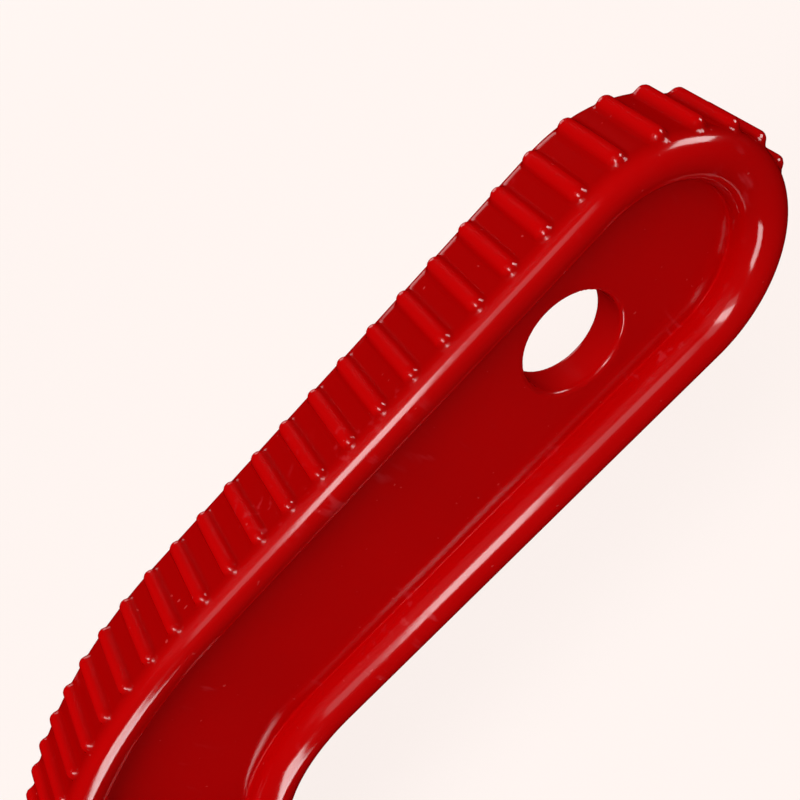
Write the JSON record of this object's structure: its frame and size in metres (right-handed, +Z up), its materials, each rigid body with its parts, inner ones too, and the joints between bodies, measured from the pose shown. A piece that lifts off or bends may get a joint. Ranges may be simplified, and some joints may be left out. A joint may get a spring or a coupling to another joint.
{
  "type": "neck duster brush",
  "caption": "Barber's neck duster: a red moulded I-section handle with cross ribs and a hanging hole, a bent neck and an oval head filled with soft bristle tufts",
  "frame": {"origin": "On the plane of the bristle tips that the brush stands on, below the middle of its length and width", "axes": "+X runs along the brush from the head to the hanging hole at the tail, +Y is across it, +Z is up from the bristle tips to the ribbed back"},
  "size_m": [0.1846, 0.028, 0.0648],
  "materials": {
    "red_plastic": "gloss",
    "bristle": "satin",
    "staple_wire": "satin"
  },
  "bodies": {
    "root": {"brush_body": "red_plastic", "staple_anchors": "staple_wire", "tuft_r1_01": "bristle", "tuft_r1_02": "bristle", "tuft_r1_03": "bristle", "tuft_r1_04": "bristle", "tuft_r1_05": "bristle", "tuft_r1_06": "bristle", "tuft_r1_07": "bristle", "tuft_r1_08": "bristle", "tuft_r1_09": "bristle", "tuft_r1_10": "bristle", "tuft_r1_11": "bristle", "tuft_r1_12": "bristle", "tuft_r2_01": "bristle", "tuft_r2_02": "bristle", "tuft_r2_03": "bristle", "tuft_r2_04": "bristle", "tuft_r2_05": "bristle", "tuft_r2_06": "bristle", "tuft_r2_07": "bristle", "tuft_r2_08": "bristle", "tuft_r2_09": "bristle", "tuft_r2_10": "bristle", "tuft_r2_11": "bristle", "tuft_r2_12": "bristle", "tuft_r2_13": "bristle", "tuft_r3_01": "bristle", "tuft_r3_02": "bristle", "tuft_r3_03": "bristle", "tuft_r3_04": "bristle", "tuft_r3_05": "bristle", "tuft_r3_06": "bristle", "tuft_r3_07": "bristle", "tuft_r3_08": "bristle", "tuft_r3_09": "bristle", "tuft_r3_10": "bristle", "tuft_r3_11": "bristle", "tuft_r3_12": "bristle", "tuft_r3_13": "bristle", "tuft_r4_01": "bristle", "tuft_r4_02": "bristle", "tuft_r4_03": "bristle", "tuft_r4_04": "bristle", "tuft_r4_05": "bristle", "tuft_r4_06": "bristle", "tuft_r4_07": "bristle", "tuft_r4_08": "bristle", "tuft_r4_09": "bristle", "tuft_r4_10": "bristle", "tuft_r4_11": "bristle", "tuft_r4_12": "bristle"}
  },
  "joints": []
}
